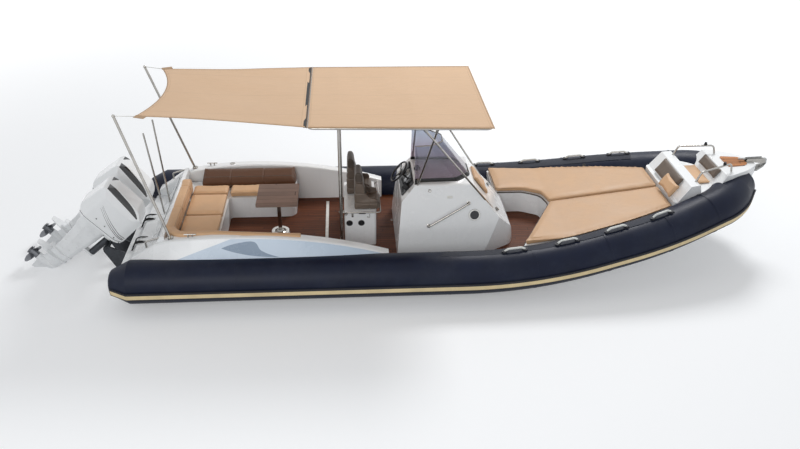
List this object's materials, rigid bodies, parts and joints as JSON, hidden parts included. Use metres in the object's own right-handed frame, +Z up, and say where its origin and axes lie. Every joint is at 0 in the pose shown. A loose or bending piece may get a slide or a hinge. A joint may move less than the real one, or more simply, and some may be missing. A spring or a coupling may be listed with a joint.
{
  "type": "inflatable rib boat",
  "caption": "Rigid inflatable boat with a T-top, aft awning, sofa, centre console, bow sunpad and tilted outboard engines.",
  "frame": {"origin": "on the waterline, amidships, on the centre line", "axes": "+X forward to the bow, +Y to port, +Z up"},
  "size_m": [12.2102, 3.662, 3.414],
  "materials": {
    "hull_gelcoat": "gloss gelcoat",
    "deck_gelcoat": "gloss gelcoat",
    "tube_fabric": "satin coated fabric",
    "rail_rubber": "matt rubber with a cream stripe",
    "teak": "oiled, dark caulked seams",
    "grey_panel": "gloss",
    "tan_vinyl": "satin marine vinyl",
    "brown_vinyl": "satin marine vinyl",
    "steel": "polished stainless tube",
    "canvas": "woven acrylic canvas",
    "smoked_glass": "smoked",
    "black_plastic": "satin",
    "white_paint": "gloss",
    "bracket_metal": "grey and black",
    "engine_block": "rough",
    "prop_metal": "brushed"
  },
  "bodies": {
    "boat": {"hull": "hull_gelcoat", "tube_starboard": "tube_fabric", "tube_port": "tube_fabric", "rub_rails": "rail_rubber", "sole": "teak", "cockpit_moulding": "deck_gelcoat", "side_panels": "grey_panel", "sofa_base": "deck_gelcoat", "sofa_seats": "tan_vinyl", "sofa_backrests": "tan_vinyl", "table_top": "teak", "table_pedestal": "steel", "helm_box": "deck_gelcoat", "helm_seat_port": "brown_vinyl", "helm_seat_starboard": "brown_vinyl", "console": "deck_gelcoat", "windshield": "smoked_glass", "porthole": "smoked_glass", "dash_panel": "black_plastic", "throttle": "black_plastic", "console_cushion": "tan_vinyl", "console_handrail": "steel", "ttop_canopy": "canvas", "ttop_frame": "steel", "aft_awning": "canvas", "awning_poles": "steel", "sunpad_starboard": "tan_vinyl", "sunpad_port": "tan_vinyl", "sunpad_base": "deck_gelcoat", "bow_moulding": "deck_gelcoat", "bow_cushions": "brown_vinyl", "nose_pad": "teak", "anchor_roller": "steel", "anchor": "steel", "bow_rails": "steel", "tube_handles": "rail_rubber", "cleats": "steel", "stern_rails": "steel", "stern_poles": "steel", "bow_eye": "steel", "stern_eyes": "steel", "engine_clamp_starboard": "bracket_metal", "engine_clamp_port": "bracket_metal"},
    "console_door": {"console_door": "deck_gelcoat"},
    "steering_wheel": {"steering_wheel": "black_plastic"},
    "swivel_starboard": {"engine_swivel_starboard": "bracket_metal"},
    "engine_starboard": {"engine_leg_starboard": "white_paint", "engine_cowl_starboard": "white_paint", "engine_block_starboard": "engine_block"},
    "propeller_starboard": {"propeller_starboard": "prop_metal"},
    "swivel_port": {"engine_swivel_port": "bracket_metal"},
    "engine_port": {"engine_leg_port": "white_paint", "engine_cowl_port": "white_paint", "engine_block_port": "engine_block"},
    "propeller_port": {"propeller_port": "prop_metal"}
  },
  "joints": [
    {"name": "tilt_starboard", "type": "hinge", "parent": "boat", "child": "swivel_starboard", "pos_m": [-4.9, -0.36, 0.42], "axis": [0, 1, 0], "range_deg": [-54, 12]},
    {"name": "steer_starboard", "type": "hinge", "parent": "swivel_starboard", "child": "engine_starboard", "pos_m": [-4.945, -0.36, 0.47362], "axis": [0.766, 0, 0.6428], "range_deg": [-30, 30]},
    {"name": "spin_starboard", "type": "hinge", "parent": "engine_starboard", "child": "propeller_starboard", "pos_m": [-6.08509, -0.36, 0.26105], "axis": [0.6428, 0, -0.766], "continuous": true},
    {"name": "tilt_port", "type": "hinge", "parent": "boat", "child": "swivel_port", "pos_m": [-4.9, 0.36, 0.42], "axis": [0, 1, 0], "range_deg": [-54, 12]},
    {"name": "steer_port", "type": "hinge", "parent": "swivel_port", "child": "engine_port", "pos_m": [-4.945, 0.36, 0.47362], "axis": [0.766, 0, 0.6428], "range_deg": [-30, 30]},
    {"name": "spin_port", "type": "hinge", "parent": "engine_port", "child": "propeller_port", "pos_m": [-6.08509, 0.36, 0.26105], "axis": [0.6428, 0, -0.766], "continuous": true},
    {"name": "console_door_hinge", "type": "hinge", "parent": "boat", "child": "console_door", "pos_m": [0.6525, 0.57055, 0.84744], "axis": [0, 0.2405, -0.9706], "range_deg": [0, 90]},
    {"name": "steering_wheel_turn", "type": "hinge", "parent": "boat", "child": "steering_wheel", "pos_m": [-0.09, -0.05, 1.3654], "axis": [-0.7752, 0, 0.6317], "range_deg": [-720, 720]}
  ],
  "couplings": [
    {"joint": "steer_starboard", "follows": "steer_port", "ratio": 1},
    {"joint": "steering_wheel_turn", "follows": "steer_port", "ratio": 24}
  ]
}
